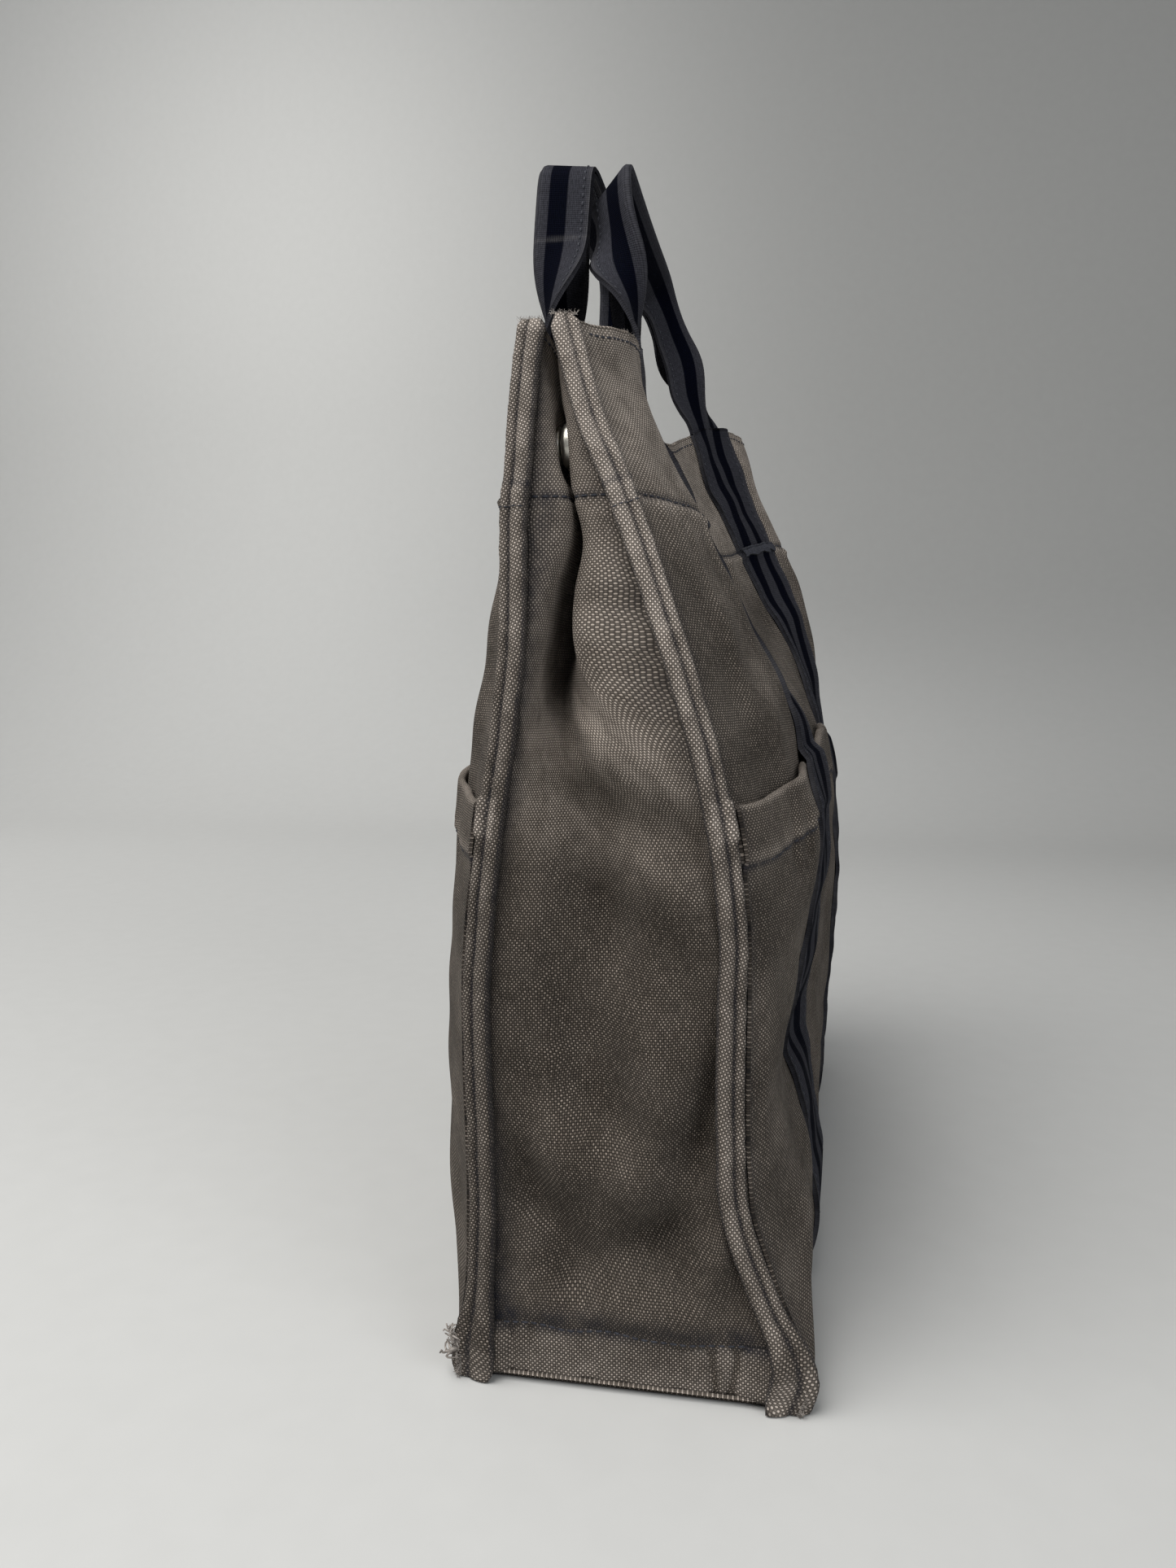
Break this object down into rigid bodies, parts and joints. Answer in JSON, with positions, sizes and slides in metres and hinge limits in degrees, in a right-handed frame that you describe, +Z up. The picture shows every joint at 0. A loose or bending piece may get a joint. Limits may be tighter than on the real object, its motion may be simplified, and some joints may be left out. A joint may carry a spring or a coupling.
{
  "type": "canvas tote bag",
  "caption": "Upright canvas tote bag with folded side gussets, outer pockets, striped webbing straps, swinging handles and press fasteners at the mouth's ends.",
  "frame": {"origin": "centre of the bottom panel's resting face", "axes": "+X along the bag from the left gusset to the right one, -Y out of the front wall, +Z up"},
  "size_m": [0.3544, 0.1547, 0.447],
  "materials": {
    "canvas": "woven, washed, worn at the edges",
    "canvas_seam": "woven, worn pale over the ridges",
    "striped_webbing": "woven, grey with two navy stripes",
    "navy_thread": "twisted thread",
    "silvered_metal": "satin, slightly dulled"
  },
  "bodies": {
    "base": {"bottom_panel": "canvas", "left_gusset": "canvas", "left_hem": "canvas", "left_band": "canvas_seam", "right_gusset": "canvas", "right_hem": "canvas", "right_band": "canvas_seam"},
    "front_wall": {"front_panel": "canvas", "front_hem": "canvas", "front_pocket": "canvas", "front_left_strap": "striped_webbing", "front_left_tack": "navy_thread", "front_left_welt": "canvas_seam", "left_snap_cap": "silvered_metal", "left_snap_socket": "silvered_metal", "front_right_strap": "striped_webbing", "front_right_tack": "navy_thread", "front_right_welt": "canvas_seam", "right_snap_cap": "silvered_metal", "right_snap_socket": "silvered_metal"},
    "back_wall": {"back_panel": "canvas", "back_hem": "canvas", "back_pocket": "canvas", "back_left_strap": "striped_webbing", "back_left_tack": "navy_thread", "back_left_welt": "canvas_seam", "left_snap_stud": "silvered_metal", "left_snap_post": "silvered_metal", "back_right_strap": "striped_webbing", "back_right_tack": "navy_thread", "back_right_welt": "canvas_seam", "right_snap_stud": "silvered_metal", "right_snap_post": "silvered_metal"},
    "front_handle": {"front_handle": "striped_webbing"},
    "back_handle": {"back_handle": "striped_webbing"}
  },
  "joints": [
    {"name": "front_wall_opening", "type": "hinge", "parent": "base", "child": "front_wall", "pos_m": [0, -0.052, 0.002], "axis": [1, 0, 0], "range_deg": [0, 6]},
    {"name": "back_wall_opening", "type": "hinge", "parent": "base", "child": "back_wall", "pos_m": [0, 0.052, 0.002], "axis": [-1, 0, 0], "range_deg": [0, 6]},
    {"name": "front_handle_swing", "type": "hinge", "parent": "front_wall", "child": "front_handle", "pos_m": [0, -0.00439, 0.355], "axis": [0.9922, -0.125, 0], "range_deg": [0, 140]},
    {"name": "back_handle_swing", "type": "hinge", "parent": "back_wall", "child": "back_handle", "pos_m": [0, 0.0464, 0.355], "axis": [-1, 0, 0], "range_deg": [0, 128]}
  ]
}
